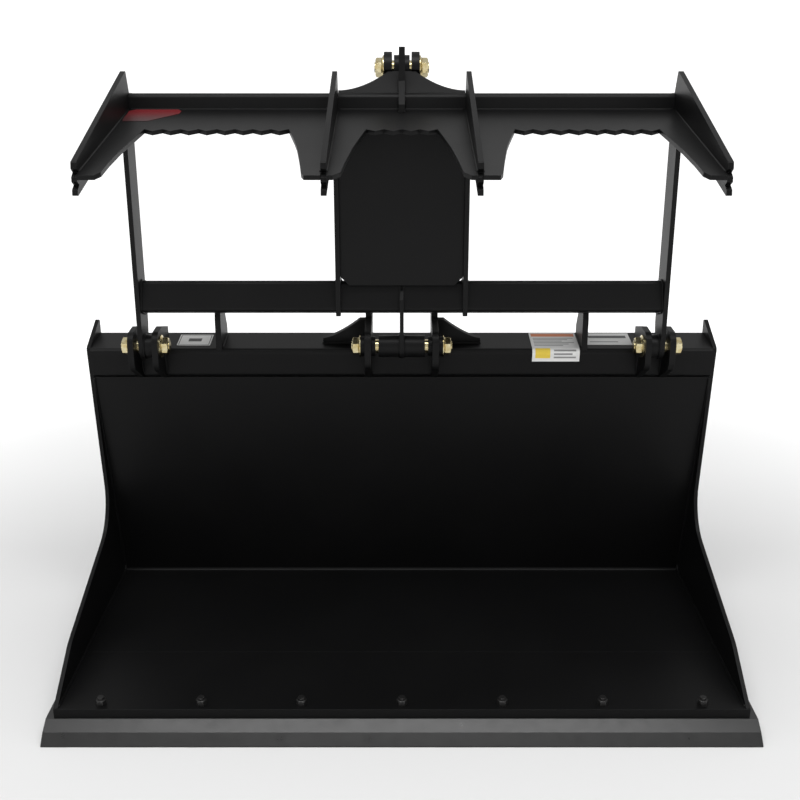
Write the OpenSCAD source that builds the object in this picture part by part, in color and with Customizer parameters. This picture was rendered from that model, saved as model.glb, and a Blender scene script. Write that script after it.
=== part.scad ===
// Grapple bucket for a mini skid steer: an open-fronted bucket with a hinged, serrated top clamp.
// X runs across the bucket, -Y is the open front, +Z is up. Millimetres.
// The origin is on the ground under the front of the base edge, at mid-width.

/* [Bucket] */
// Width between the side plates
inner_w = 1040; // [1000:5:1080]
// Side plate thickness
side_t = 6.35; // [5:0.05:8]
// Floor and back sheet thickness
wrap_t = 6.35; // [5:0.05:8]
// Depth of the floor, from its front edge to the back sheet
floor_l = 426; // [420:1:432]
// Forward lean of the back sheet, in degrees
back_lean = 10; // [9:0.5:10.5]
// Width of the top rail, along its upper face
rail_w = 76.2; // [74:0.1:78]
// Height of the top rail
rail_h = 50.8; // [49:0.1:52]
// Forward tilt of the top rail, in degrees
rail_tilt = 8; // [7.5:0.5:8.5]

/* [Cutting edge] */
// Length of the bolt-on edge
edge_w = 1078; // [1060:2:1100]
// Thickness of the bolt-on edge
edge_t = 25.4; // [22:0.1:28]
// Thickness of the welded base edge
base_t = 15.9; // [14:0.1:18]
// Spacing of the plow bolts
bolt_pitch = 152.4; // [150:0.1:155]

/* [Clamp] */
// Thickness of the arm and tine plates
tine_t = 7.5; // [6:0.5:8]
// Outer face of the outer arms, from mid-width
arm_x = 427; // [425:1:428]
// Outer face of the inner arms, from mid-width
inner_arm_x = 105.5; // [104:0.5:107]
// Depth of an arm, front to back
arm_depth = 48; // [46:1:49]
// Slope of the upper edge of the tines, in degrees
tine_slope = 18.9; // [18.5:0.1:19.5]
// Slope of the serrated plates, in degrees
plate_slope = 10.5; // [10:0.1:11]
// Depth of one tooth of the serrated plate
tooth_h = 10; // [6:0.5:11]

/* [Hinges and cylinder] */
// Diameter of the hinge pins and of the rod pin
pin_d = 22.2; // [20:0.1:23]
// Diameter of the cylinder's base pin
base_pin_d = 20; // [19:0.1:20.5]
// Radial clearance of a pin in its bore
fit = 0.05; // [0.02:0.01:0.09]
// Outer diameter of the cylinder barrel
barrel_d = 45; // [42:0.5:46]
// Diameter of the cylinder rod
rod_d = 25; // [22:0.5:28]

/* [Hidden] */
$fn = 48;
floor_z = edge_t + base_t;
half_w = inner_w / 2;
outer_x = half_w + side_t;
base_l = 152.4;
bolt_y = 14;
bolt_d = 9.5;
nut_t = 9;
bend_r = 5;
edge_nose = 35;
edge_back = 117;

pivot = [322, 514.5];
rod_pin = [412, 946.5];
base_pin = [412, 577];
pin_r = pin_d / 2;
bore_r = pin_r + fit;
base_pin_r = base_pin_d / 2;

rail_front = [351, 450.5];
rail_top_front = rail_front + rail_h * [-sin(rail_tilt), cos(rail_tilt)];
rail_r = 8;
rail_wall = 4.8;
attach_y = 432;
attach_t = 9.5;
attach_w = 620;

lean = 2;
arm_front = 302;
arm_end_r = 20;
plate_edge = [355, 907.5];
tube_low = [345, 860.2];
tube_h = 50.8;
tube_depth = 25.4;
tube_r = 7;
plate_foot = [tube_low[0], 888];
plate_t = 6.35;
plate_l = 310;
tooth_line = 109.5;
bar_front = [308, 576.5];
bar_h = 50.8;
bar_d = 38.1;
bar_tilt = 19;
fan_slope = 45;
fan_l = 49.5;
guard_t = 6.35;

ear_t = 9.5;
side_ear_in = 394.8;
side_ear_out = 434;
centre_ear_in = 49.7;
centre_ear_t = 10.5;
upper_ear_in = 15.4;
upper_ear_t = 12.7;
ear_r = 24;
boss_d = 38;
tube_d = 36;
nut_h = 13.5;

slot_r = 15.8;
slot_travel = 33;
eye_r = 22;
gland_d = 50;
gland_top = 902;
barrel_foot = 604;

// Points of the round between the sides p-a and p-b, radius r.
function round_corner(a, p, b, r) =
    let (
        u = (a - p) / norm(a - p),
        v = (b - p) / norm(b - p),
        half = acos(u * v) / 2,
        centre = p + (u + v) / norm(u + v) * r / sin(half),
        start = p + u * r / tan(half) - centre,
        turn = (180 - 2 * half) * sign(u[0] * v[1] - u[1] * v[0]),
        steps = max(2, ceil(abs(turn) / 9))
    )
    [for (i = [0 : steps])
        let (t = -turn * i / steps)
        centre + [start[0] * cos(t) - start[1] * sin(t), start[0] * sin(t) + start[1] * cos(t)]];

// Outline through the corners [x, y, radius]; a radius of 0 keeps the corner sharp.
function outline(corners) =
    let (n = len(corners))
    [for (i = [0 : n - 1])
        let (
            p = [corners[i][0], corners[i][1]],
            a = [corners[(i + n - 1) % n][0], corners[(i + n - 1) % n][1]],
            b = [corners[(i + 1) % n][0], corners[(i + 1) % n][1]]
        )
        for (q = corners[i][2] > 0 ? round_corner(a, p, b, corners[i][2]) : [p]) q];

// Front-to-back place of the back sheet's inner face at a height.
function back_y(z) = floor_l - (z - floor_z) * tan(back_lean);

// Front-to-back place of an arm's front edge at a height.
function arm_y(z) = arm_front + (z - pivot[1]) * tan(lean);

// A profile drawn in (Y, Z), made a plate from x to x + t.
module plate(x, t) {
    translate([x, 0, 0]) rotate([90, 0, 90]) linear_extrude(t) children();
}

module both_sides() {
    children();
    mirror([1, 0, 0]) children();
}

// A round bar along X, centred on p = [y, z], from x0 to x1.
module bar_x(p, x0, x1, d) {
    translate([x0, p[0], p[1]]) rotate([0, 90, 0]) cylinder(h = x1 - x0, d = d);
}

// A tube along X with a true bore.
module tube_x(p, x0, x1, d, bore) {
    difference() {
        bar_x(p, x0, x1, d);
        bar_x(p, x0 - 1, x1 + 1, bore);
    }
}

// A hexagon nut on a round flange, standing on the face at x and pointing to +X.
module flange_nut(p, x) {
    flange_t = 4;
    flange_d = 37;
    across_flats = 26;
    translate([x, p[0], p[1]]) rotate([0, 90, 0]) difference() {
        union() {
            cylinder(h = flange_t, d = flange_d);
            cylinder(h = nut_h, d = across_flats / cos(30), $fn = 6);
        }
        translate([0, 0, -1]) cylinder(h = nut_h + 2, d = 16);
    }
}

// A hinge pin from face x0 to face x1, with a 16 mm stud at each end that fills its nut.
module stud_pin(p, x0, x1, d) {
    bar_x(p, x0, x1, d);
    bar_x(p, x0 - nut_h - 1.5, x1 + nut_h + 1.5, 16);
}

module rail_profile(inset = 0) {
    translate(rail_front) rotate(rail_tilt) translate([inset, inset]) polygon(outline([
        [0, 0, rail_r - inset], [rail_w - 2 * inset, 0, rail_r - inset],
        [rail_w - 2 * inset, rail_h - 2 * inset, rail_r - inset], [0, rail_h - 2 * inset, rail_r - inset]
    ]));
}

module bar_profile(inset = 0) {
    r = 7 - inset;
    translate(bar_front) rotate(-bar_tilt) translate([inset, inset]) polygon(outline([
        [0, 0, r], [bar_d - 2 * inset, 0, r],
        [bar_d - 2 * inset, bar_h - 2 * inset, r], [0, bar_h - 2 * inset, r]
    ]));
}

// Places children on the rail's top face: x across, y back from its front corner, z out of it.
module on_rail() {
    translate([0, rail_top_front[0], rail_top_front[1]]) rotate([rail_tilt, 0, 0]) children();
}

// Places children on the serrated plate: y is 0 at its rear edge and negative towards its teeth.
module on_plate() {
    translate([0, plate_foot[0], plate_foot[1]]) rotate([plate_slope, 0, 0]) children();
}

// ---- bucket ----

module wrapper() {
    top_z = rail_front[1] - 0.1;
    color("#202020") plate(-half_w, inner_w) polygon(concat(
        [[base_l, floor_z]],
        round_corner([base_l, floor_z], [floor_l, floor_z], [back_y(top_z), top_z], bend_r),
        [[back_y(top_z), top_z], [back_y(top_z) + wrap_t / cos(back_lean), top_z]],
        let (
            foot = [floor_l + wrap_t * tan(45 - back_lean / 2), floor_z - wrap_t],
            head = [back_y(top_z) + wrap_t / cos(back_lean), top_z]
        )
        round_corner(head, foot, [base_l, floor_z - wrap_t], bend_r + wrap_t),
        [[base_l, floor_z - wrap_t]]
    ));
}

module side_profile() {
    rear = attach_y;
    polygon(outline([
        [1, floor_z, 0], [95, 96, 60], [372.6, 177.3, 80], [349.5, 502, 7], [421, 535, 4],
        [420.4, 511, 0], [rear, 440, 0], [rear, floor_z - wrap_t, 0],
        [base_l, floor_z - wrap_t, 0], [base_l, floor_z, 0]
    ]));
}

module side_plate_right() {
    color("#262626") plate(half_w, side_t) side_profile();
}

module side_plate_left() {
    mirror([1, 0, 0]) side_plate_right();
}

module at_bolts() {
    for (i = [-3 : 3]) translate([i * bolt_pitch, bolt_y, 0]) children();
}

module base_edge() {
    color("#1c1c1c") difference() {
        translate([-outer_x, 0, edge_t]) cube([2 * outer_x, base_l, base_t]);
        at_bolts() cylinder(h = 60, d = bolt_d + 0.6);
    }
}

// Plow bolt heads sit in countersinks that open on the edge's lower face.
module countersink(extra) {
    rotate_extrude() polygon([[0, 0], [9 + extra, 0], [9 + extra, 2.5], [bolt_d / 2 + extra, 8],
        [bolt_d / 2 + extra, 60], [0, 60]]);
}

module cutting_edge() {
    color("#4a4a4a") difference() {
        plate(-edge_w / 2, edge_w) polygon([
            [-1, edge_t], [-20, 15.2], [-edge_nose, 2], [-edge_nose, 0],
            [edge_back, 0], [edge_back, edge_t]
        ]);
        at_bolts() countersink(0.3);
    }
}

module plow_bolts() {
    stub = 3.5;
    color("#303030") at_bolts() intersection() {
        countersink(0);
        cylinder(h = floor_z + nut_t + stub, r = 12);
    }
}

module plow_nuts() {
    color("#303030") at_bolts() translate([0, 0, floor_z]) difference() {
        cylinder(h = nut_t, d = 14.3 / cos(30), $fn = 6);
        translate([0, 0, -1]) cylinder(h = nut_t + 2, d = bolt_d);
    }
}

module top_rail() {
    color("#262626") plate(-half_w, inner_w) difference() {
        rail_profile();
        rail_profile(rail_wall);
    }
}

module rear_ribs() {
    foot_z = 90;
    top_z = rail_front[1] - 1;
    skin = wrap_t / cos(back_lean);
    color("#222222") both_sides() for (x = [90, 285]) plate(x, ear_t) polygon([
        [back_y(foot_z) + skin, foot_z], [attach_y, foot_z], [attach_y, top_z],
        [back_y(top_z) + skin, top_z]
    ]);
}

module heel_runners() {
    runner_w = 60;
    color("#222222") both_sides() for (x = [130, 400]) plate(x, runner_w) polygon([
        [200, floor_z - wrap_t], [235, 0], [400, 0], [420, 12], [420, floor_z - wrap_t]
    ]);
}

module stop_plates() {
    color("#222222") both_sides() plate(299.5, ear_t) difference() {
        polygon(outline([
            [346, 490, 0], [348, 552, 3], [354.6, 573, 4], [366, 590, 4], [376, 586, 6], [412, 525, 0],
            [412, 500, 0]
        ]));
        rail_profile();
        offset_bar();
    }
}

// The crossbar's outline grown by the 0.4 mm gap it keeps from its stops.
module offset_bar() {
    gap = 0.4;
    translate(bar_front) rotate(-bar_tilt) translate([-gap, -gap]) square([bar_d + 2 * gap, bar_h + 2 * gap]);
}

module side_ear_profile() {
    difference() {
        polygon(outline([
            [295, 484, 20], [296, 541, 20], [340, 543, 12], [383, 531, 3], [383, 500, 0],
            [rail_front[0], rail_front[1], 0]
        ]));
        rail_profile();
        translate(pivot) circle(r = bore_r);
    }
}

module side_ears_outer() {
    color("#2a2a2a") both_sides() plate(side_ear_out, ear_t) side_ear_profile();
}

module side_ears_inner() {
    color("#2a2a2a") both_sides() plate(side_ear_in, ear_t) side_ear_profile();
}

module centre_ears() {
    color("#2a2a2a") both_sides() plate(centre_ear_in, centre_ear_t) difference() {
        polygon(outline([
            [295, 484, 20], [296, 541, 20], [368, 546, 10], [384, 600, 20], [438, 600, ear_r],
            [438, 548, 20], [419.4, 511, 0], [rail_front[0], rail_front[1], 0]
        ]));
        rail_profile();
        translate(pivot) circle(r = bore_r);
        translate(base_pin) circle(r = base_pin_r + fit);
    }
}

module ear_bosses() {
    outer = centre_ear_in + centre_ear_t;
    color("#202020") both_sides() {
        tube_x(pivot, 43.1, centre_ear_in, 32, 2 * bore_r);
        tube_x(pivot, outer, outer + 7, 34, 2 * bore_r);
    }
}

// Curved gussets brace the centre ears along the rail.
module ear_gussets() {
    x0 = centre_ear_in + centre_ear_t;
    x_top = 70;
    x1 = 132;
    y0 = 28;
    h = 43;
    toe = 9;
    steps = 12;
    sweep = [for (i = [0 : steps])
        [x1 - (x1 - x_top) * i / steps, toe + (h - toe) * pow(i / steps, 1.5)]];
    color("#222222") both_sides() on_rail() translate([0, y0 + ear_t, 0]) rotate([90, 0, 0])
        linear_extrude(ear_t) polygon(concat([[x0, 0], [x1, 0]], sweep, [[x0, h]]));
}

module side_hinge_pins() {
    color("#c8b878") both_sides() stud_pin(pivot, side_ear_in, side_ear_out + ear_t, pin_d);
}

module centre_hinge_pin() {
    end = centre_ear_in + centre_ear_t + 7;
    color("#c8b878") stud_pin(pivot, -end, end, pin_d);
}

module side_hinge_nuts() {
    color("#d0c080") both_sides() {
        flange_nut(pivot, side_ear_out + ear_t);
        translate([side_ear_in, 0, 0]) mirror([1, 0, 0]) flange_nut(pivot, 0);
    }
}

module centre_hinge_nuts() {
    color("#d0c080") both_sides() flange_nut(pivot, centre_ear_in + centre_ear_t + 7);
}

module base_pin_shaft() {
    end = centre_ear_in + centre_ear_t;
    color("#c8b878") stud_pin(base_pin, -end, end, base_pin_d);
}

module base_pin_nuts() {
    color("#d0c080") both_sides() flange_nut(base_pin, centre_ear_in + centre_ear_t);
}

module attach_plate() {
    color("#222222") translate([-attach_w / 2, attach_y, 75]) cube([attach_w, attach_t, 300]);
}

module attach_hook() {
    y0 = attach_y + attach_t;
    drop = 33;
    band = 13;
    color("#222222") plate(-attach_w / 2, attach_w) polygon([
        [y0, 375], [y0 + drop, 375 - drop], [y0 + drop - band / 2, 375 - drop - band / 2], [y0, 375 - band]
    ]);
}

module latch_lip() {
    lip_l = 48;
    lip_t = 12.7;
    slot_w = 64;
    slot_l = 19;
    color("#222222") translate([0, attach_y + attach_t, 90]) rotate([-30, 0, 0]) difference() {
        translate([-attach_w / 2, 0, -lip_t]) cube([attach_w, lip_l, lip_t]);
        for (x = [-190, 190]) translate([x - slot_w / 2, 17, -20]) cube([slot_w, slot_l, 30]);
        rotate([30, 0, 0]) translate([-400, -50, -50]) cube([800, 50, 100]);
    }
}

module rail_labels() {
    label_t = 0.5;
    color("#e8e8e8") {
        on_rail() translate([-378, 18, 0]) cube([56, 42, label_t]);
        on_rail() translate([218, 9, 0]) cube([79, 58, label_t]);
        on_rail() translate([312, 20, 0]) cube([76, 46, label_t]);
    }
}

// ---- clamp ----

module tube_profile(inset = 0) {
    r = tube_r - inset;
    translate(tube_low + [inset, inset]) polygon(outline([
        [0, 0, r], [tube_depth - 2 * inset, 0, r],
        [tube_depth - 2 * inset, tube_h - 2 * inset, r], [0, tube_h - 2 * inset, r]
    ]));
}

module tine_profile() {
    top = plate_edge + 40 * [-sin(tine_slope), cos(tine_slope)];
    tip = [48, 847.5];
    tube_back = tube_low[0] + tube_depth;
    tube_top = tube_low[1] + tube_h;
    polygon(outline([
        [top[0], top[1], 3], [tip[0], tip[1], 3], [46, 839, 0], [53, 833.5, 0], [45, 828.5, 0],
        [44, 822.5, 0], [52, 817.5, 0], [43, 812.5, 0], [41, 804, 2],
        [316, 875, 28], [arm_y(pivot[1]), pivot[1], 0],
        [pivot[0] + 19, pivot[1] - 6, 0], [arm_y(548) + arm_depth, 548, 12],
        [arm_y(845) + arm_depth, 845, 0], [tube_back, tube_low[1] - 2, 0], [tube_back, tube_top, 0],
        [plate_edge[0] - 1, tube_top, 0]
    ]));
}

module outer_tine_right() {
    color("#303030") plate(arm_x - tine_t, tine_t) difference() {
        union() {
            tine_profile();
            translate(pivot) circle(r = arm_end_r);
        }
        translate(pivot) circle(r = bore_r);
    }
}

module outer_tine_left() {
    mirror([1, 0, 0]) outer_tine_right();
}

module inner_tine_right() {
    foot_z = 570;
    color("#303030") plate(inner_arm_x - tine_t, tine_t) difference() {
        tine_profile();
        bar_profile();
        tube_profile();
        translate([250, 400]) square([200, foot_z - 400]);
        translate([bar_front[0] + 7, 400]) square([200, 190]);
    }
}

module inner_tine_left() {
    mirror([1, 0, 0]) inner_tine_right();
}

// Teeth along the line y = -tooth_line, between the valleys at x0 and x1.
function teeth(x0, x1, count) =
    [for (i = [0 : 2 * count])
        [x0 + (x1 - x0) * i / (2 * count), -tooth_line + (i % 2 == 0 ? tooth_h / 2 : -tooth_h / 2)]];

// A sheet in the plane of the serrated plates, cut back to the front face of the top tube.
module on_plate_sheet() {
    difference() {
        on_plate() translate([0, 0, -plate_t]) linear_extrude(plate_t) children();
        translate([-half_w, tube_low[0], tube_low[1]]) cube([inner_w, tube_depth, tube_h]);
    }
}

module serrated_wing_right() {
    x0 = inner_arm_x;
    x1 = arm_x - tine_t;
    color("#2c2c2c") on_plate_sheet() polygon(concat(
        [[x0, 3], [x0, -plate_l], [127, -plate_l], [131, -299], [134, -274], [138, -242],
            [145.5, -190], [151, -162]],
        teeth(164, 374.4, 8),
        [[x1 - 41.5, -134], [x1 - 33.5, -203], [x1 - 30, -255], [x1 - 29, -297],
            [x1 - 23, -plate_l], [x1, -plate_l], [x1, 3]]
    ));
}

module serrated_wing_left() {
    mirror([1, 0, 0]) serrated_wing_right();
}

module serrated_centre() {
    x1 = inner_arm_x - tine_t;
    flank = [[60.5, -150], [68.5, -196], [76, -256], [80, -298],
        [x1 - 8.5, -plate_l], [x1, -plate_l], [x1, 3]];
    left = [for (i = [len(flank) - 1 : -1 : 0]) [-flank[i][0], flank[i][1]]];
    color("#2c2c2c") on_plate_sheet() polygon(concat(left, teeth(-52, 52, 4), flank));
}

// The fan closes the top between the inner arms; its sides sweep up from low toes.
module fan_plate() {
    half_wide = inner_arm_x - tine_t;
    half_top = 20.5;
    toe = 11;
    steps = 14;
    side = [for (i = [0 : steps])
        [half_wide - (half_wide - half_top) * i / steps, toe + (fan_l - toe) * pow(i / steps, 1.9)]];
    other = [for (i = [steps : -1 : 0]) [-side[i][0], side[i][1]]];
    color("#505050") difference() {
        translate([0, plate_edge[0], plate_edge[1]]) rotate([fan_slope, 0, 0])
            translate([0, 0, -plate_t]) linear_extrude(plate_t)
            polygon(concat([[-half_wide, 0], [half_wide, 0]], side, other));
        translate([-half_w, tube_low[0], tube_low[1]]) cube([inner_w, 2 * tube_depth, tube_h]);
    }
}

module guard_plate() {
    half_wide = inner_arm_x - tine_t - 0.1;
    clip = 14;
    foot_z = 619;
    height = 257;
    color("#262626") translate([0, 312, foot_z]) rotate([-lean, 0, 0]) rotate([90, 0, 0])
        translate([0, 0, -guard_t]) linear_extrude(guard_t) polygon([
            [-half_wide + clip, 0], [half_wide - clip, 0], [half_wide, clip], [half_wide, height],
            [-half_wide, height], [-half_wide, clip]
        ]);
}

module top_tube() {
    x1 = arm_x - tine_t;
    wall = 4.8;
    color("#262626") plate(-x1, 2 * x1) difference() {
        tube_profile();
        tube_profile(wall);
    }
}

module crossbar() {
    x1 = arm_x - tine_t;
    color("#262626") plate(-x1, 2 * x1) difference() {
        bar_profile();
        bar_profile(4.8);
    }
}

module centre_rib() {
    rib_t = 6.35;
    color("#2c2c2c") plate(-rib_t / 2, rib_t) difference() {
        union() {
            polygon([
                [arm_y(pivot[1]), pivot[1]], [arm_y(596), 596], [320, 612], [352, 580],
                [arm_y(548) + arm_depth, 548], [pivot[0] + 19, pivot[1] - 6]
            ]);
            translate(pivot) circle(r = arm_end_r);
        }
        bar_profile();
        translate([bar_front[0] + 12, 575]) rotate(-bar_tilt) square([100, 60]);
        translate(pivot) circle(r = bore_r);
    }
}

module centre_pivot_tubes() {
    color("#242424") both_sides() tube_x(pivot, 3.175, 37.6, tube_d, 2 * bore_r);
}

module side_pivot_tubes() {
    color("#242424") both_sides() tube_x(pivot, side_ear_in + ear_t + 0.5, arm_x - tine_t, boss_d, 2 * bore_r);
}

module upper_ears() {
    color("#2a2a2a") both_sides() plate(upper_ear_in, upper_ear_t) difference() {
        union() {
            translate(rod_pin) circle(r = ear_r);
            polygon([
                [359.6, 903], [396, 939.4], [rod_pin[0] - 8, rod_pin[1] + 14],
                [rod_pin[0] + 17, rod_pin[1] - 16.9], [388, 908], [366, 897]
            ]);
        }
        translate(plate_edge) rotate(fan_slope) translate([-30, -plate_t]) square([30 + fan_l, 80]);
        translate(tube_low) square([tube_depth, tube_h]);
        translate(rod_pin) circle(r = bore_r);
    }
}

module centre_fin() {
    color("#383838") plate(-4.75, 9.5) difference() {
        polygon([
            [325.6, 870], [325.6, 897.1], [358, 929.5], [358, 979], [376, 979], [384, 965],
            [384, 934], [360, 910], [350, 870]
        ]);
        translate(plate_edge) rotate(fan_slope) translate([0, -40]) square([80, 40]);
        translate(plate_foot) rotate(plate_slope) translate([-80, -40]) square([80, 40]);
        translate(tube_low) square([tube_depth, tube_h]);
    }
}

module rod_pin_shaft() {
    end = upper_ear_in + upper_ear_t;
    color("#c8b878") stud_pin(rod_pin, -end, end, pin_d);
}

module rod_pin_nuts() {
    color("#d0c080") both_sides() flange_nut(rod_pin, upper_ear_in + upper_ear_t);
}

module wing_label() {
    color("#7a1c1c") on_plate() linear_extrude(0.5) polygon([
        [-417, -56], [-417, -10], [-408, -1], [-343.5, -1], [-337.5, -10], [-337.5, -24], [-378, -64],
        [-415, -64]
    ]);
}

// ---- cylinder ----

module upright(z0, z1, d) {
    translate([0, rod_pin[0], z0]) cylinder(h = z1 - z0, d = d);
}

module rod_eye() {
    eye_len = 24.6;
    color("#242424") tube_x(rod_pin, -eye_len / 2, eye_len / 2, boss_d, 2 * bore_r);
}

module cylinder_rod() {
    color("#d8d8d8") difference() {
        upright(660, rod_pin[1] - 12, rod_d);
        bar_x(rod_pin, -40, 40, boss_d);
    }
}

module piston() {
    color("#8a8a8a") upright(630, 660, 38);
}

module barrel_tube() {
    color("#242424") difference() {
        upright(barrel_foot + 8, gland_top - 24, barrel_d);
        upright(barrel_foot, gland_top, 38.1);
    }
}

module barrel_cap() {
    color("#242424") upright(barrel_foot - 4, barrel_foot + 8, barrel_d);
}

module gland() {
    color("#303030") difference() {
        upright(gland_top - 24, gland_top, gland_d);
        upright(gland_top - 30, gland_top + 6, rod_d + 0.1);
    }
}

// The base eye's slot gives the base pin room as the cylinder swings.
module base_eye() {
    eye_len = 50;
    color("#242424") plate(-eye_len / 2, eye_len) difference() {
        union() {
            translate(base_pin) circle(r = eye_r);
            translate(base_pin + [slot_travel, 0]) circle(r = eye_r);
            translate(base_pin - [0, eye_r]) square([slot_travel, 2 * eye_r]);
            translate(base_pin + [-18, 0]) square([36, barrel_foot - 4 - base_pin[1]]);
        }
        translate(base_pin) circle(r = slot_r);
        translate(base_pin + [slot_travel, 0]) circle(r = slot_r);
        translate(base_pin - [0, slot_r]) square([slot_travel, 2 * slot_r]);
    }
}

module port_bosses() {
    port_d = 14.2;
    color("#242424") for (z = [625, 862]) translate([0, rod_pin[0], z]) rotate([-90, 0, 0]) difference() {
        cylinder(h = barrel_d / 2 + 14, d = 24);
        translate([0, 0, barrel_d / 2 + 1]) cylinder(h = 20, d = port_d);
        rotate([90, 0, 0]) translate([0, 0, -40]) cylinder(h = 80, d = barrel_d);
    }
}

wrapper();
side_plate_left();
side_plate_right();
base_edge();
cutting_edge();
plow_bolts();
plow_nuts();
top_rail();
rear_ribs();
heel_runners();
stop_plates();
side_ears_outer();
side_ears_inner();
centre_ears();
ear_bosses();
ear_gussets();
side_hinge_pins();
centre_hinge_pin();
side_hinge_nuts();
centre_hinge_nuts();
base_pin_shaft();
base_pin_nuts();
attach_plate();
attach_hook();
latch_lip();
rail_labels();
outer_tine_left();
outer_tine_right();
inner_tine_left();
inner_tine_right();
serrated_wing_left();
serrated_wing_right();
serrated_centre();
fan_plate();
guard_plate();
top_tube();
crossbar();
centre_rib();
centre_pivot_tubes();
side_pivot_tubes();
upper_ears();
centre_fin();
rod_pin_shaft();
rod_pin_nuts();
wing_label();
cylinder_rod();
rod_eye();
piston();
barrel_tube();
barrel_cap();
base_eye();
gland();
port_bosses();
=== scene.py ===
import bpy
import numpy as np
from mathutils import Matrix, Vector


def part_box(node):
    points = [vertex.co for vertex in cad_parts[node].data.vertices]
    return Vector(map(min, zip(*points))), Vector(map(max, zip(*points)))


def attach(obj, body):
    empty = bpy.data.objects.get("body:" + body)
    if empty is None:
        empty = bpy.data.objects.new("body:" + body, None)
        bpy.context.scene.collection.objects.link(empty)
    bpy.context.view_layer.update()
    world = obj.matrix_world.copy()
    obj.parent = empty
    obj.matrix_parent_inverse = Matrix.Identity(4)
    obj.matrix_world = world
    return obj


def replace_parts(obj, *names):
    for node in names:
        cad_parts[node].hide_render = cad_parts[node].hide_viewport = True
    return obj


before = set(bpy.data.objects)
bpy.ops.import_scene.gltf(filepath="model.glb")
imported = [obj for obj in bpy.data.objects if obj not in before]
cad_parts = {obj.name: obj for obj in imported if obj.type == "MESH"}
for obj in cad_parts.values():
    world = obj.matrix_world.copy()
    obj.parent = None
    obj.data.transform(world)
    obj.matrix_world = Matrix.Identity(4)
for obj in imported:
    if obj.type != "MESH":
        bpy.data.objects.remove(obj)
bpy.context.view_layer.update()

# ---- Studio ----
# The bucket stands on a white floor that turns up at its far rim. Near the bucket the floor is
# painted darker and glows less, a painted shade round it, and farther out it glows white.
# One wide softbox hangs above it, towards the front, and a weaker one stands at each side.

scene = bpy.context.scene
scene.view_settings.view_transform = "Standard"

camera = bpy.data.objects.new("camera", bpy.data.cameras.new("camera"))
camera.data.sensor_width = 36.0
camera.data.lens = 47.25
camera.location = (-0.0028, -1.325, 1.02685)
camera.rotation_euler = (np.radians(69.782), 0.0, 0.0)
scene.collection.objects.link(camera)
scene.camera = camera

room = bpy.data.worlds.new("white_room")
room.use_nodes = True
room.node_tree.nodes["Background"].inputs["Color"].default_value = (1.0, 1.0, 1.0, 1.0)
room.node_tree.nodes["Background"].inputs["Strength"].default_value = 0.7
scene.world = room

for name, place, turn, width, height, power in [
    ("softbox_top", (0.0, -0.6, 3.0), (0.0, 0.0, 0.0), 2.6, 0.9, 62.0),
    ("softbox_left", (-3.0, 0.3, 1.4), (0.0, -75.0, 0.0), 1.6, 1.8, 5.0),
    ("softbox_right", (3.0, 0.3, 1.4), (0.0, 75.0, 0.0), 1.6, 1.8, 5.0),
]:
    softbox = bpy.data.objects.new(name, bpy.data.lights.new(name, "AREA"))
    softbox.data.shape = "RECTANGLE"
    softbox.data.size, softbox.data.size_y = width, height
    softbox.data.energy = power
    softbox.location = place
    softbox.rotation_euler = np.radians(turn)
    scene.collection.objects.link(softbox)


class Socket:
    """A shader socket that takes part in sums: each + - * on it adds one Math node."""

    def __init__(self, finish, socket):
        self.finish, self.socket = finish, socket

    def sum(self, operation, first, second):
        return self.finish.node("Math", {"operation": operation}, {0: first, 1: second})

    def __add__(self, other):
        return self.sum("ADD", self, other)

    def __sub__(self, other):
        return self.sum("SUBTRACT", self, other)

    def __rsub__(self, other):
        return self.sum("SUBTRACT", other, self)

    def __mul__(self, other):
        return self.sum("MULTIPLY", self, other)

    __radd__, __rmul__ = __add__, __mul__


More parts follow.
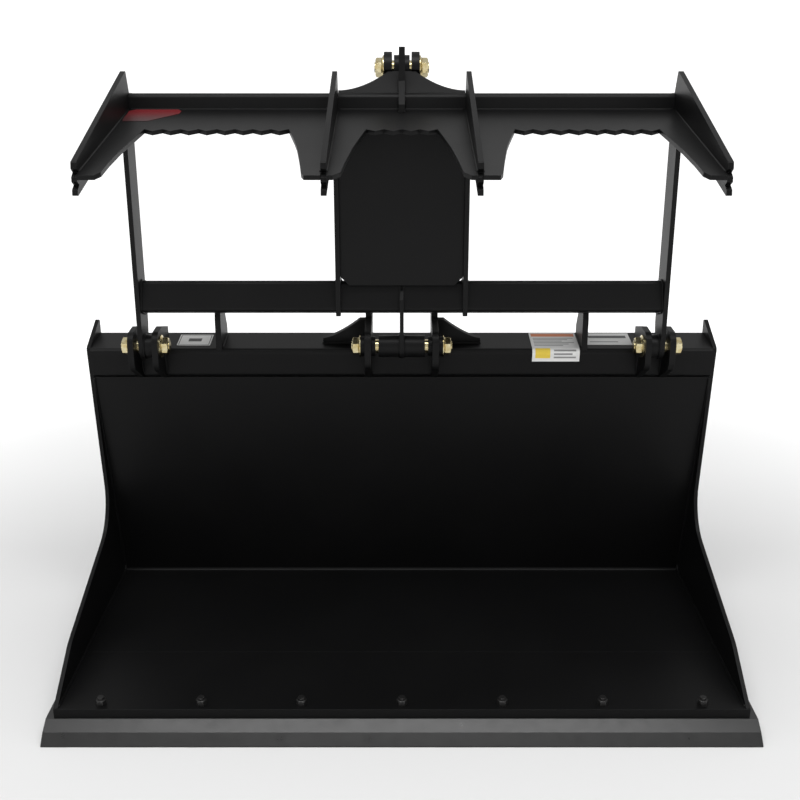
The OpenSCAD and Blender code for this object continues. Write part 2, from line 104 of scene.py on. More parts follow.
class Finish:
    """A material on one Principled shader. What is the same all over is set on its own sockets."""

    def __init__(self, name, **constants):
        self.material = bpy.data.materials.new(name)
        self.material.use_nodes = True
        self.tree = self.material.node_tree
        self.shader = self.tree.nodes["Principled BSDF"]
        for socket, value in constants.items():
            self.shader.inputs[socket.replace("_", " ")].default_value = value

    def node(self, kind, settings, inputs, output=0):
        """Any node, from its type, its settings and the values or links of its sockets."""
        node = self.tree.nodes.new("ShaderNode" + kind)
        for key, value in settings.items():
            setattr(node, key, value)
        for key, value in inputs.items():
            self.feed(node.inputs[key], value)
        return Socket(self, node.outputs[output])

    def feed(self, socket, value):
        if isinstance(value, Socket):
            self.tree.links.new(value.socket, socket)
        else:
            socket.default_value = value

    def place(self):
        return self.node("TexCoord", {}, {}, "Object")

    def noise(self, scale, detail=2.0, stretch=None):
        """Noise with `scale` lumps to the metre, 0 to 1, or drawn out by `stretch` on each axis."""
        where = self.place()
        if stretch:
            where = self.node("VectorMath", {"operation": "MULTIPLY"}, {0: where, 1: stretch})
        return self.node("TexNoise", {}, {"Vector": where, "Scale": scale, "Detail": detail})

    def step(self, value, low, high, start=0.0, end=1.0):
        """`start` below low, `end` above high, and a smooth change between them."""
        return self.node(
            "MapRange", {"interpolation_type": "SMOOTHSTEP"},
            {0: value, 1: low, 2: high, 3: start, 4: end},
        )

    def colours(self, mask, first, second):
        return self.node("Mix", {"data_type": "RGBA"}, {0: mask, 6: first, 7: second}, 2)

    def soft_edges(self, radius):
        """The surface's direction with its sharp edges rounded, and a mask of those edges."""
        rounded = self.node("Bevel", {"samples": 4}, {"Radius": radius})
        flat = self.node("NewGeometry", {}, {}, "Normal")
        alike = self.node(
            "VectorMath", {"operation": "DOT_PRODUCT"}, {0: rounded, 1: flat}, "Value"
        )
        return rounded, self.step(1.0 - alike, 0.02, 0.22)

    def bump(self, height, depth, strength, under=None):
        """Relief `depth` metres deep, on top of the direction `under`."""
        inputs = {"Height": height, "Distance": depth, "Strength": strength}
        if under:
            inputs["Normal"] = under
        return self.node("Bump", {}, inputs)

    def wear(self, **inputs):
        for socket, value in inputs.items():
            self.feed(self.shader.inputs[socket.replace("_", " ")], value)
        return self


floor_half = 30.0
upturn = 0.1
below_object = 0.0004
floor_mesh = bpy.data.meshes.new("studio_floor")
square = np.array([(-1, -1, 0), (1, -1, 0), (1, 1, 0), (-1, 1, 0)])
floor_corners = np.vstack([square, square + (0, 0, upturn)]) * floor_half
rim_faces = [((i + 1) % 4, i, i + 4, (i + 1) % 4 + 4) for i in range(4)]
floor_mesh.from_pydata(
    (floor_corners - (0, 0, below_object)).tolist(), [], [(0, 1, 2, 3)] + rim_faces
)
studio_floor = bpy.data.objects.new("studio_floor", floor_mesh)
scene.collection.objects.link(studio_floor)

floor_paint = Finish("studio_white", Roughness=0.9, Specular_IOR_Level=0.0)
floor_paint.shader.inputs["Emission Strength"].default_value = 1.0
distance = floor_paint.node(
    "VectorMath", {"operation": "LENGTH"}, {0: floor_paint.place()}, "Value"
)
# Painted shade: within 0.8 m of the middle the floor is painted darker and glows less; past 2.6 m
# it glows white.
far = floor_paint.step(distance, 0.8, 2.6)
floor_paint.wear(
    Base_Color=floor_paint.colours(far, (0.68, 0.68, 0.68, 1.0), (0.80, 0.80, 0.80, 1.0)),
    Emission_Color=floor_paint.colours(far, (0.03, 0.03, 0.03, 1.0), (0.62, 0.62, 0.62, 1.0)),
)
floor_mesh.materials.append(floor_paint.material)


# ---- Black powder coat: the whole bucket and clamp ----
# Every welded plate is shot-blasted and powder coated in satin black, the clamp in a slightly
# lighter copy of the coat as painted light. The coat has a fine orange peel, pinhead grain, cloudy
# gloss, and its sharp plate edges are painted lighter as a painted highlight.


def powder_coat(name, dark, light, rough, relief):
    """Satin powder coat: cloudy tone, pinhead grain, orange peel, and edges painted lighter as a
    painted highlight.
    """
    coat = Finish(name, Specular_IOR_Level=0.13)
    rounded, edge = coat.soft_edges(0.0011)
    cloud = coat.noise(5.0, 4.0)
    grain = coat.step(coat.noise(1400.0), 0.52, 0.72)
    tone = coat.colours(cloud * 0.7 + grain * 0.3, dark, light)
    # Painted highlight: the sharp edges are painted a lighter black.
    tone = coat.colours(edge * 0.35, tone, (0.022, 0.022, 0.023, 1.0))
    peel = coat.noise(420.0) * 0.7 + coat.noise(1500.0) * 0.3
    return coat.wear(
        Base_Color=tone,
        Roughness=rough + (cloud - 0.5) * 0.16 + grain * 0.08,
        Normal=coat.bump(peel, 0.00025, relief, rounded),
    )


def dress(finish, *nodes):
    """Puts a finish on CAD nodes."""
    for node in nodes:
        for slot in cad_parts[node].material_slots:
            slot.material = finish.material


# Painted light: the bucket and the clamp get a darker and a lighter copy of one coat.
bucket_coat = powder_coat(
    "bucket_black_coat", (0.0025, 0.0025, 0.0026, 1.0), (0.0050, 0.0050, 0.0052, 1.0), 0.42, 0.30
)
clamp_coat = powder_coat(
    "clamp_black_coat", (0.0028, 0.0028, 0.0029, 1.0), (0.0055, 0.0055, 0.0057, 1.0), 0.40, 0.28
)
dress(
    bucket_coat, "wrapper", "side_plate_left", "side_plate_right", "base_edge", "top_rail",
    "rear_ribs", "heel_runners", "stop_plates", "side_ears_outer", "side_ears_inner",
    "centre_ears", "ear_bosses", "ear_gussets", "attach_plate", "attach_hook", "latch_lip",
)
dress(
    clamp_coat, "outer_tine_left", "outer_tine_right", "inner_tine_left", "inner_tine_right",
    "serrated_wing_left", "serrated_wing_right", "serrated_centre", "fan_plate", "guard_plate",
    "top_tube", "crossbar", "centre_rib", "centre_pivot_tubes", "side_pivot_tubes", "upper_ears",
    "centre_fin",
)


# ---- Welds of the bucket ----
# The plates are joined by MIG fillet welds under the coat. Each is a run of overlapping puddles,
# 4 mm apart, half sunk in the corner that it fills.


def grid_faces(rows, columns, start=0):
    """Quads between the rows of a grid whose columns run round and close on themselves."""
    row, column = np.meshgrid(np.arange(rows - 1), np.arange(columns), indexing="ij")
    here, beside = row * columns + column, row * columns + (column + 1) % columns
    return start + np.stack([here, beside, beside + columns, here + columns], -1).reshape(-1, 4)


def add_piece(name, points, faces, body, slot, finish):
    """A smooth-shaded mesh piece in place, riding on a body, in one finish."""
    mesh = bpy.data.meshes.new(name)
    mesh.from_pydata(np.asarray(points).tolist(), [], [tuple(face) for face in faces])
    mesh.polygons.foreach_set("use_smooth", [True] * len(mesh.polygons))
    mesh.set_sharp_from_angle(angle=np.radians(34.0))
    piece = bpy.data.objects.new(name, mesh)
    scene.collection.objects.link(piece)
    piece.data.materials.append(finish.material)
    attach(piece, body)
    return piece


def gather(shapes):
    """Many (points, faces) shapes as one."""
    offsets = np.cumsum([0] + [len(points) for points, _ in shapes[:-1]])
    faces = [
        tuple(int(i) + start for i in face)
        for start, (_, some) in zip(offsets, shapes) for face in some
    ]
    return np.vstack([points for points, _ in shapes]), faces


def weld(corners, across, size, closed=False):
    """One weld: rings of ten points round a path, P + r (cos t U + sin t V), in metres.

    U and V are square to the path, which is given in millimetres. The radius r rises and falls
    by a sixth with each puddle, and an open weld rounds off over its own size at each end.
    """
    sides, spacing, puddle, blunt = 10, 0.0013, 0.004, 0.03
    corners, across = np.array(corners, float) / 1000, np.array(across, float)
    if closed:
        corners = np.vstack([corners, corners[:1]])
    reach = np.concatenate([[0.0], np.cumsum(np.linalg.norm(np.diff(corners, axis=0), axis=1))])
    along = np.linspace(0.0, reach[-1], int(reach[-1] / spacing) + 6)
    path = np.stack([np.interp(along, reach, corners[:, k]) for k in range(3)], -1)
    radius = size / 1000 * (0.84 + 0.16 * np.abs(np.sin(np.pi * along / puddle)))
    if closed:
        path, radius = path[:-1], radius[:-1]
        tangent = np.roll(path, -1, 0) - np.roll(path, 1, 0)
    else:
        tangent = np.gradient(path, axis=0)
        end = np.clip(np.minimum(along, along[-1] - along) / size * 1000, blunt, 1.0)
        radius = radius * np.sqrt(1 - (1 - end) ** 2)
    tangent /= np.linalg.norm(tangent, axis=1)[:, None]
    u = across - (tangent @ across)[:, None] * tangent
    u /= np.linalg.norm(u, axis=1)[:, None]
    v = np.cross(tangent, u)
    t = np.arange(sides)[:, None] * 2 * np.pi / sides
    around = np.cos(t) * u[:, None] + np.sin(t) * v[:, None]
    rings = path[:, None] + radius[:, None, None] * around
    faces = [tuple(face) for face in grid_faces(len(path), sides)]
    last = (len(path) - 1) * sides
    if closed:
        faces += [(last + i, last + (i + 1) % sides, (i + 1) % sides, i) for i in range(sides)]
    else:
        faces += [tuple(range(sides))[::-1], tuple(range(last, last + sides))]
    return rings.reshape(-1, 3), faces


def both_sides(welds):
    """Welds, and the same ones on the other side of mid-width."""
    turned_over = [
        (points * (-1, 1, 1), [face[::-1] for face in faces]) for points, faces in welds
    ]
    return welds + turned_over


rail_foot, rail_tilt, rail_height, rail_corner = (351, 450.5), 8.0, 50.8, 8


def rail_yz(depth, rise):
    """(y, z) in millimetres of a point `depth` behind and `rise` above the rail's front foot."""
    tilt = np.radians(rail_tilt)
    return (
        rail_foot[0] + depth * np.cos(tilt) - rise * np.sin(tilt),
        rail_foot[1] + depth * np.sin(tilt) + rise * np.cos(tilt),
    )


def over_rail(x, depth, start=8.0):
    """A path up the rail's front face, over its round corner and back along its top."""
    bend = [
        (rail_corner - rail_corner * np.sin(a), rail_height - rail_corner + rail_corner * np.cos(a))
        for a in np.radians([90, 60, 30, 0])
    ]
    return [(x, *rail_yz(d, r)) for d, r in [(0, start)] + bend + [(depth, rail_height)]]


def behind_back(x, z):
    """A point on the rear face of the leaning back sheet, in millimetres."""
    floor_end, floor_top, lean, skin = 426, 41.3, 10.0, 6.45
    return x, floor_end - (z - floor_top) * np.tan(np.radians(lean)) + skin, z


x_axis, y_axis, z_axis = (1, 0, 0), (0, 1, 0), (0, 0, 1)
side_face, rib_faces = 520, (90, 99.5, 285, 294.5)
attach_face, runner_face = 432, 34.95
inner_corner = [
    (side_face, y, z) for y, z in [(6, 41.3), (412, 41.3), (420.5, 44.5), (424, 52), (354.2, 449)]
]
bucket_welds = [weld(inner_corner, x_axis, 3.0)]
for x in rib_faces:
    bucket_welds.append(weld([behind_back(x, 93), behind_back(x, 446)], x_axis, 3.2))
    bucket_welds.append(weld([(x, attach_face, 93), (x, attach_face, 373)], x_axis, 3.2))
bucket_welds += [weld(over_rail(x, 36), x_axis, 2.4) for x in (394.8, 404.3, 434, 443.5)]
bucket_welds += [weld(over_rail(x, 68), x_axis, 2.4) for x in (49.7, 60.2)]
bucket_welds += [
    weld([(x, *rail_yz(9, rail_height)), (x, *rail_yz(66, rail_height))], x_axis, 2.4)
    for x in (299.5, 309)
]
for depth in (28, 37.5):
    gusset_foot = [(62, *rail_yz(depth, rail_height)), (134, *rail_yz(depth, rail_height))]
    gusset_end = [(60.2, *rail_yz(depth, 54)), (60.2, *rail_yz(depth, 92))]
    bucket_welds += [weld(gusset_foot, y_axis, 2.4), weld(gusset_end, y_axis, 2.2)]
bucket_welds += [
    weld([(x, 204, runner_face), (x, 416, runner_face)], x_axis, 3.0) for x in (130, 190, 400, 460)
]
bucket_welds = both_sides(bucket_welds)
for y, z, half in [
    (152.4, runner_face, 518), (361, 451, 516), (441.5, 90, 308), (441.2, 375, 308)
]:
    bucket_welds.append(weld([(-half, y, z), (half, y, z)], y_axis, 3.2))
add_piece("bucket_welds", *gather(bucket_welds), "bucket", "black_paint", bucket_coat)


# ---- Welds of the clamp ----
# The crossbar, the top tube, the serrated plates, the guard, the ears and the pivot tubes are
# welded together in the same way, with smaller beads where they show.


def circle(x, radius, count=72):
    """A circle about the clamp's hinge axis, at x."""
    hinge_y, hinge_z = 322, 514.5
    t = np.arange(count) * 2 * np.pi / count
    return [(x, hinge_y + radius * np.cos(a), hinge_z + radius * np.sin(a)) for a in t]


def sloped(origin, slope, x, along, lift=0.0):
    """A point `along` a plate that slopes by `slope` degrees from `origin`, `lift` above it."""
    a = np.radians(slope)
    return (
        x, origin[0] + along * np.cos(a) - lift * np.sin(a),
        origin[1] + along * np.sin(a) + lift * np.cos(a),
    )


plate_foot, fan_edge, bar_foot = (345, 888), (355, 907.5), (308, 576.5)
plate_slope, fan_slope, bar_slope = 10.5, 45, -19
sheet, bar_height, bar_corner = 6.35, 50.8, 7
outer_arm, inner_arm_in, inner_arm_out, fin_face = 419.5, 98, 105.5, 4.75
bar_ring = [
    (d + bar_corner * np.cos(a), r + bar_corner * np.sin(a))
    for d, r, turn in [(7, 7, 180), (31.1, 7, 270), (31.1, 43.8, 0), (7, 43.8, 90)]
    for a in np.radians(turn + np.arange(0, 91, 15))
]
bar_end = [sloped(bar_foot, bar_slope, outer_arm, d, r) for d, r in bar_ring]
clamp_welds = [weld(bar_end, x_axis, 2.8, True)]
for x in (inner_arm_in, inner_arm_out):
    over_bar = [sloped(bar_foot, bar_slope, x, d, bar_height) for d in (6, 32)]
    clamp_welds.append(weld(over_bar, x_axis, 2.4))
for x in (inner_arm_in, inner_arm_out, outer_arm):
    for lift, end in [(0.0, -296), (-sheet, -290)]:
        ends = [sloped(plate_foot, plate_slope, x, s, lift) for s in (-4, end)]
        clamp_welds.append(weld(ends, x_axis, 2.0))
for x in (15.4, 28.1):
    ear_foot = [sloped(fan_edge, fan_slope, x, s, -sheet) for s in (14, 44)]
    clamp_welds.append(weld(ear_foot, x_axis, 2.0))
fin_front = [
    sloped(plate_foot, plate_slope, fin_face, -17), (fin_face, *plate_foot), (fin_face, 345, 904)
]
fin_foot = [sloped(fan_edge, fan_slope, fin_face, s) for s in (6, 38)]
clamp_welds += [weld(fin_front, x_axis, 1.8), weld(fin_foot, x_axis, 1.8)]
clamp_welds.append(weld([(inner_arm_in, 319.2, 642), (inner_arm_in, 327.2, 872)], x_axis, 2.8))
rib_foot = [sloped(bar_foot, bar_slope, 3.2, 0, r) for r in (6, 45)]
clamp_welds.append(weld(rib_foot, x_axis, 2.0))
clamp_welds += [
    weld(circle(outer_arm, 19), x_axis, 2.2, True), weld(circle(3.2, 18), x_axis, 2.0, True)
]
clamp_welds = both_sides(clamp_welds)
for x0, x1 in [(-417, -107.5), (-96, 96), (107.5, 417)]:
    clamp_welds.append(weld([(x0, *plate_foot), (x1, *plate_foot)], y_axis, 1.8))
clamp_welds.append(weld([(-96, 358.5, 911), (96, 358.5, 911)], y_axis, 1.8))
add_piece("clamp_welds", *gather(clamp_welds), "grapple", "black_paint", clamp_coat)


# ---- Bolt-on cutting edge ----
# A bar of abrasion-resistant steel, bevelled at the front, under the welded base edge. It comes
# in a flat dark grey with mill marks along it, and is held by seven plow bolts from below.


def edge_grey():
    """Flat grey paint over rolled steel: long mill streaks, mottling, and corners painted lighter
    as a painted highlight.
    """
    grey = Finish("edge_grey", Specular_IOR_Level=0.4)
    rounded, painted_edge_highlight = grey.soft_edges(0.0009)
    streak = grey.noise(40.0, 3.0, (0.08, 1.0, 1.0))
    mottle = grey.noise(60.0, 5.0)
    tone = grey.colours(
        streak * 0.5 + mottle * 0.5,
        (0.0085, 0.0085, 0.0085, 1.0), (0.0150, 0.0150, 0.0152, 1.0),
    )
    # Painted highlight: the corners are painted a lighter grey.
    tone = grey.colours(painted_edge_highlight * 0.5, tone, (0.045, 0.045, 0.046, 1.0))
    return grey.wear(
        Base_Color=tone,
        Roughness=0.32 + (mottle - 0.5) * 0.2,
        Normal=grey.bump(streak * 0.5 + grey.noise(900.0) * 0.5, 0.0002, 0.35, rounded),
    )


dress(edge_grey(), "cutting_edge")


# ---- Plow bolts and their nuts ----
# Seven half-inch plow bolts of black-oxide steel come up through the edge, and each has a
# chamfered hexagon nut on the bucket's floor. The corners of the nuts and of the stubs of thread
# above them are painted grey as a painted highlight.


def black_oxide():
    """Black oxide: a thin dark film on bare steel, with its corners painted grey as a painted
    highlight.
    """
    oxide = Finish("black_oxide", Metallic=0.85, Specular_IOR_Level=0.5)
    rounded, painted_edge_highlight = oxide.soft_edges(0.0005)
    film = oxide.noise(260.0, 4.0)
    tone = oxide.colours(film, (0.020, 0.020, 0.021, 1.0), (0.045, 0.044, 0.043, 1.0))
    return oxide.wear(
        # Painted highlight: the corners are painted grey.
        Base_Color=oxide.colours(painted_edge_highlight * 0.7, tone, (0.16, 0.155, 0.15, 1.0)),
        Roughness=0.36 + film * 0.18,
        Normal=oxide.bump(film, 0.0001, 0.4, rounded),
    )


oxide = black_oxide()
dress(oxide, "plow_bolts")


def nut_surface(across_flats, height, bore, flange, rim):
    """A nut that stands on x = 0 and points to +X.

    The radius at a height x and an angle t is the larger of the flange's cone and of the smaller
    of the hexagon, a / cos(t from the middle of its flat), and the crown's chamfer cone.
    """
    columns = 72
    t = np.arange(columns) * 2 * np.pi / columns
    hexagon = across_flats / 2 / np.cos((t + np.pi / 6) % (np.pi / 3) - np.pi / 6)
    corner = across_flats / 2 / np.cos(np.pi / 6)
    chamfer = 0.13 * height
    x = np.unique(np.concatenate([
        np.linspace(0.0, rim, 2), np.linspace(rim, 0.40 * height, 9),
        np.linspace(height - chamfer, height, 4),
    ]))
    cone = flange - 1.9 * np.clip(x - rim, 0.0, None)
    crown = corner - 1.7 * np.clip(x - height + chamfer, 0.0, None)
    outside = np.maximum(cone[:, None], np.minimum(hexagon[None, :], crown[:, None]))
    x = np.concatenate([[0.0], x, [height]])
    radius = np.vstack([np.full(columns, bore), outside, np.full(columns, bore)])
    points = np.stack([
        np.broadcast_to(x[:, None], radius.shape), radius * np.cos(t), radius * np.sin(t)
    ], -1)
    rows = len(x)
    faces = grid_faces(rows, columns)
    last, first = (rows - 1) * columns + np.arange(columns), np.arange(columns)
    bore_faces = np.stack([last, np.roll(last, -1), np.roll(first, -1), first], -1)
    return points.reshape(-1, 3), np.vstack([faces, bore_faces])


plow_across, plow_height, plow_bore, plow_pitch = 0.0143, 0.009, 0.0046, 0.1524
plow_points, plow_faces = nut_surface(plow_across, plow_height, plow_bore, 0.0, 0.0)
nut_low, nut_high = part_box("plow_nuts")
seat_y, seat_z = (nut_low.y + nut_high.y) / 2, nut_low.z
upright_nut = plow_points[:, [2, 1, 0]]
plow_nuts = gather([
    (upright_nut + (i * plow_pitch, seat_y, seat_z), plow_faces[:, ::-1]) for i in range(-3, 4)
])
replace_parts(add_piece("plow_nut_set", *plow_nuts, "bucket", "dark_bolt", oxide), "plow_nuts")


# ---- Hinge hardware ----
# Pins of yellow zinc plated steel carry the clamp and both ends of the cylinder. Each is held by
# a hexagon nut with a conical flange on either side, in the same plating.


def yellow_zinc():
    """Yellow zinc: a pale gold film whose tint wanders, with faint machining rings."""
    zinc = Finish("yellow_zinc", Metallic=1.0)
    rounded, painted_edge_highlight = zinc.soft_edges(0.0006)
    tint = zinc.noise(90.0, 3.0)
    ring = zinc.noise(900.0, 2.0, (1.0, 0.15, 0.15))
    tone = zinc.colours(
        zinc.step(tint, 0.35, 0.65), (0.48, 0.39, 0.19, 1.0), (0.58, 0.52, 0.33, 1.0)
    )
    return zinc.wear(
        # Painted highlight: the corners are painted a pale gold.
        Base_Color=zinc.colours(painted_edge_highlight * 0.5, tone, (0.74, 0.70, 0.56, 1.0)),
        Roughness=0.17 + tint * 0.12,
        Normal=zinc.bump(ring, 0.00008, 0.4, rounded),
    )


zinc = yellow_zinc()
dress(zinc, "side_hinge_pins", "centre_hinge_pin", "base_pin_shaft", "rod_pin_shaft")

flange_across, flange_height, flange_radius, flange_rim = 0.026, 0.0135, 0.0185, 0.0016
stud_bore = 0.0079
nut_points, nut_faces = nut_surface(
    flange_across, flange_height, stud_bore, flange_radius, flange_rim
)
mirrored = nut_points * (-1, 1, 1)


def nuts_at(pin_node, right_facing, left_facing):
    """Flange nuts on a pin's axis: some seats face +X, the others -X."""
    low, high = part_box(pin_node)
    centre_y, centre_z = (low.y + high.y) / 2, (low.z + high.z) / 2
    return gather(
        [(nut_points + (x, centre_y, centre_z), nut_faces) for x in right_facing]
        + [(mirrored + (x, centre_y, centre_z), nut_faces[:, ::-1]) for x in left_facing]
    )


side_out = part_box("side_ears_outer")[1].x
ear_thickness = 0.0095
side_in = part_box("side_ears_inner")[1].x - ear_thickness
boss_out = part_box("ear_bosses")[1].x
ear_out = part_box("centre_ears")[1].x
upper_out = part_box("upper_ears")[1].x
for name, body, replaced, pin, right_seats, left_seats in [
    (
        "side_nut_set", "bucket", "side_hinge_nuts", "side_hinge_pins",
        [side_out, -side_in], [side_in, -side_out],
    ),
    (
        "centre_nut_set", "bucket", "centre_hinge_nuts", "centre_hinge_pin",
        [boss_out], [-boss_out],
    ),
    ("base_nut_set", "bucket", "base_pin_nuts", "base_pin_shaft", [ear_out], [-ear_out]),
    ("rod_nut_set", "grapple", "rod_pin_nuts", "rod_pin_shaft", [upper_out], [-upper_out]),
]:
    nut_set = add_piece(
        name, *nuts_at(pin, right_seats, left_seats), body, "gold_zinc", zinc
    )
    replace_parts(nut_set, replaced)


# ---- Cylinder ----
# A small hydraulic cylinder behind the guard plate opens and shuts the clamp. Its barrel, ports
# and eyes are steel in the black coat, its rod is hard chrome, and a lip wipes the rod clean.


def hard_chrome():
    """Hard chrome on a ground rod: mirror bright, with hair-fine rings from the grinding."""
    chrome = Finish("hard_chrome", Metallic=1.0)
    rings = chrome.noise(1600.0, 2.0, (0.05, 0.05, 1.0))
    haze = chrome.noise(14.0, 4.0)
    return chrome.wear(
        Base_Color=chrome.colours(haze, (0.70, 0.71, 0.72, 1.0), (0.80, 0.80, 0.81, 1.0)),
        Roughness=0.08 + haze * 0.08,
        Normal=chrome.bump(rings, 0.00002, 0.3),
    )


def bare_steel():
    """Turned steel, dull from oil, with fine turning rings."""
    steel = Finish("bare_steel", Metallic=1.0)
    rings = steel.noise(1200.0, 2.0, (0.05, 0.05, 1.0))
    return steel.wear(
        Base_Color=steel.colours(rings, (0.30, 0.30, 0.30, 1.0), (0.42, 0.42, 0.42, 1.0)),
        Roughness=0.34 + rings * 0.1,
        Normal=steel.bump(rings, 0.00005, 0.4),
    )


dress(hard_chrome(), "cylinder_rod")
dress(bare_steel(), "piston")
dress(clamp_coat, "rod_eye", "barrel_tube", "barrel_cap", "base_eye", "port_bosses", "gland")


def turned(profile, centre, columns=64):
    """A ring about Z through `centre`: each profile point (r, z) goes round at its radius."""
    t = np.arange(columns) * 2 * np.pi / columns
    r, z = np.array(profile).T
    points = np.stack([
        centre[0] + r[:, None] * np.cos(t), centre[1] + r[:, None] * np.sin(t),
        np.broadcast_to(z[:, None], (len(r), columns)),
    ], -1).reshape(-1, 3)
    closing = np.stack([
        (len(r) - 1) * columns + np.arange(columns),
        (len(r) - 1) * columns + np.roll(np.arange(columns), -1),
        np.roll(np.arange(columns), -1), np.arange(columns),
    ], -1)
    return points, np.vstack([grid_faces(len(r), columns), closing])


gland_low, gland_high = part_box("gland")
rod_y = (gland_low.y + gland_high.y) / 2
gland_face = gland_high.z
wiper = [
    (0.0127, gland_face - 0.001), (0.0168, gland_face - 0.001), (0.0168, gland_face + 0.0012),
    (0.0160, gland_face + 0.0020), (0.0138, gland_face + 0.0022), (0.0128, gland_face + 0.0030),
]
add_piece("rod_wiper", *turned(wiper, (0.0, rod_y)), "barrel", "dark_bolt", oxide)

axis_y, eye_z, barrel_radius, boss_radius, eye_radius, rod_radius = 412, 946.5, 22.5, 12, 19, 12.5
t = np.arange(72) * 2 * np.pi / 72
boss_rings = []
for port_z in (625, 862):
    across, rise = boss_radius * np.cos(t), boss_radius * np.sin(t)
    back = axis_y + np.sqrt(barrel_radius**2 - across**2)
    boss_rings.append(np.stack([across, back, port_z + rise], -1))
cap_top = np.full(t.shape, 612.0)
cap_ring = np.stack([
    barrel_radius * np.cos(t), axis_y + barrel_radius * np.sin(t), cap_top
], -1)
barrel_welds = [weld(ring, y_axis, 1.6, True) for ring in boss_rings]
barrel_welds.append(weld(cap_ring, z_axis, 1.5, True))
add_piece("barrel_welds", *gather(barrel_welds), "barrel", "black_paint", clamp_coat)
across, back = rod_radius * np.cos(t), rod_radius * np.sin(t)
eye_ring = np.stack([across, axis_y + back, eye_z - np.sqrt(eye_radius**2 - back**2)], -1)
add_piece("rod_eye_weld", *weld(eye_ring, z_axis, 1.6, True), "rod", "black_paint", clamp_coat)


# ---- Labels ----
# Four vinyl stickers: three on the top rail and one on the clamp. Their print is plain blocks
# and rules, with no wording. The middle rail sticker folds over the rail's rounded front corner.


def sheet_on_rail(x0, x1, back, front, thick=0.0005):
    """A sticker bent over the rail, as a closed shell, with its print's coordinates.

    x runs across it, and an arc length s runs from `back` on the rail's top, round the rail's
    corner, to `front`, which is negative on the front face.
    """
    corner, height = rail_corner / 1000, rail_height / 1000
    arc = corner * np.pi / 2
    s = np.linspace(back, front, 60)
    turn = np.clip(-s / corner, 0.0, np.pi / 2)
    straight, fall = np.clip(s, 0.0, None), np.clip(-s - arc, 0.0, None)
    depth = corner + straight - corner * np.sin(turn)
    rise = height - corner + corner * np.cos(turn) - fall
    out_depth, out_rise = -np.sin(turn), np.cos(turn)
    layers = []
    for lift in (thick, 0.0):
        d, h = depth + lift * out_depth, rise + lift * out_rise
        y, z = (value / 1000 for value in rail_yz(d * 1000, h * 1000))
        x = np.linspace(x0, x1, 12)
        layers.append(np.stack(np.broadcast_arrays(x[None, :], y[:, None], z[:, None]), -1))
    rows, columns = layers[0].shape[:2]
    points = np.vstack([layer.reshape(-1, 3) for layer in layers])
    r, c = np.meshgrid(np.arange(rows - 1), np.arange(columns - 1), indexing="ij")
    a = (r * columns + c).ravel()
    top = np.stack([a, a + columns, a + columns + 1, a + 1], -1)
    under = top[:, ::-1] + rows * columns
    ring = np.concatenate([
        np.arange(columns), np.arange(1, rows) * columns + columns - 1,
        (rows - 1) * columns + np.arange(columns - 2, -1, -1), np.arange(rows - 2, 0, -1) * columns,
    ])
    after = np.roll(ring, -1)
    rim = np.stack([ring, after, after + rows * columns, ring + rows * columns], -1)
    v, u = np.meshgrid(np.linspace(1, 0, rows), np.linspace(0, 1, columns), indexing="ij")
    prints = np.tile(np.stack([u, v], -1).reshape(-1, 2), (2, 1))
    return points, np.vstack([top, under, rim]), prints


def sticker(name, width, height, blocks, ground=(0.74, 0.74, 0.73, 1.0)):
    """Printed vinyl.

    Each of its `blocks` is (left, right, low, high, colour), in metres from its low corner.
    """
    vinyl = Finish(name, Specular_IOR_Level=0.5)
    along = vinyl.node("TexCoord", {}, {}, "UV")
    split = vinyl.node("SeparateXYZ", {}, {0: along})
    x = split * width
    y = Socket(vinyl, split.socket.node.outputs[1]) * height
    fading_and_painted_shade = vinyl.noise(120.0, 4.0)
    tone = vinyl.colours(fading_and_painted_shade * 0.25, ground, tuple(0.86 * c for c in ground[:3]) + (1.0,))
    soft = 0.0003
    for left, right, low, high, ink in blocks:
        inside = (
            vinyl.step(x, left - soft, left + soft)
            * vinyl.step(x, right - soft, right + soft, 1.0, 0.0)
            * vinyl.step(y, low - soft, low + soft)
            * vinyl.step(y, high - soft, high + soft, 1.0, 0.0)
        )
        tone = vinyl.colours(inside, tone, ink)
    return vinyl.wear(
        Base_Color=tone,
        Roughness=0.34 + fading_and_painted_shade * 0.14,
        Normal=vinyl.bump(vinyl.noise(500.0), 0.0001, 0.2),
    )


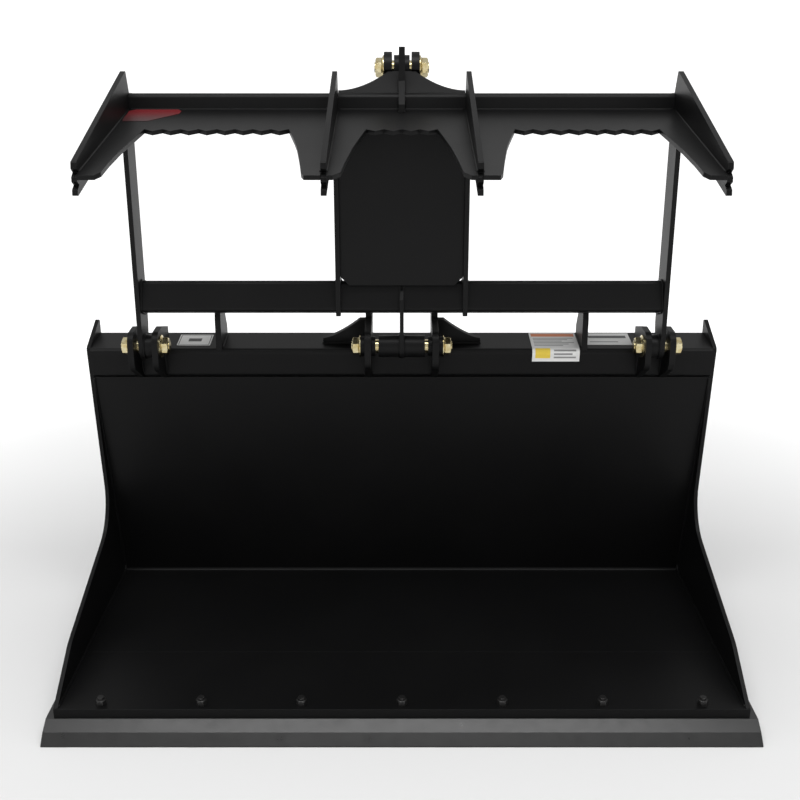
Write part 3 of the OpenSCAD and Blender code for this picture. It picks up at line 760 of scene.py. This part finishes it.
black_ink = (0.012, 0.012, 0.012, 1.0)
grey_ink = (0.22, 0.22, 0.22, 1.0)
pale_ink = (0.74, 0.74, 0.73, 1.0)
orange_ink = (0.62, 0.16, 0.03, 1.0)
size_w, size_h = 0.056, 0.042
care_w, care_h = 0.079, 0.0845
maker_w, maker_h = 0.076, 0.046
stickers = [
    ("size_plate", -0.378, size_w, 0.052, 0.052 - size_h, [
        (0.002, size_w - 0.002, 0.002, size_h - 0.002, black_ink),
        (0.0032, size_w - 0.0032, 0.0032, size_h - 0.0032, pale_ink),
        (0.017, 0.039, 0.015, 0.027, black_ink),
    ]),
    ("care_label", 0.218, care_w, 0.059, 0.059 - care_h, [
        (0.003, care_w - 0.003, care_h - 0.015, care_h - 0.003, orange_ink),
    ] + [
        (0.005, care_w - 0.006 - 0.010 * (i % 3), top - 0.0025, top, grey_ink)
        for i, top in enumerate(care_h - 0.0200 - 0.0058 * np.arange(6))
    ] + [
        (0.005, 0.030, 0.006, 0.024, (0.75, 0.55, 0.05, 1.0)),
        (0.036, care_w - 0.006, 0.006, 0.009, grey_ink),
        (0.036, care_w - 0.012, 0.012, 0.015, grey_ink),
        (0.036, care_w - 0.006, 0.018, 0.021, grey_ink),
    ]),
    ("maker_label", 0.312, maker_w, 0.058, 0.058 - maker_h, [
        (0.006, maker_w - 0.006, 0.026, 0.036, (0.05, 0.05, 0.05, 1.0)),
        (0.006, maker_w - 0.022, 0.010, 0.013, grey_ink),
    ]),
]
for name, left, width, back, front, blocks in stickers:
    points, faces, prints = sheet_on_rail(left, left + width, back, front)
    height = back - front
    vinyl = sticker(name + "_vinyl", width, height, blocks)
    label = add_piece(name, points, faces, "bucket", "label_white", vinyl)
    layer = label.data.uv_layers.new(name="print")
    corner_points = np.empty(len(label.data.loops), int)
    label.data.loops.foreach_get("vertex_index", corner_points)
    layer.data.foreach_set("uv", prints[corner_points].ravel())
    if name == "size_plate":
        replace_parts(label, "rail_labels")


def red_vinyl():
    """Red vinyl, painted darker towards its lower edge as painted shade, with a slightly rippled
    face.
    """
    red = Finish("red_vinyl", Specular_IOR_Level=0.5)
    low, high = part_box("wing_label")
    height = red.node("SeparateXYZ", {}, {0: red.place()}, 2)
    # Painted shade: the label is painted darker towards its lower edge.
    fading_and_painted_shade = red.step(height, low.z, high.z)
    return red.wear(
        Base_Color=red.colours(fading_and_painted_shade, (0.035, 0.006, 0.007, 1.0), (0.13, 0.008, 0.011, 1.0)),
        Roughness=0.34 + red.noise(150.0) * 0.15,
        Normal=red.bump(red.noise(500.0), 0.0001, 0.2),
    )


dress(red_vinyl(), "wing_label")
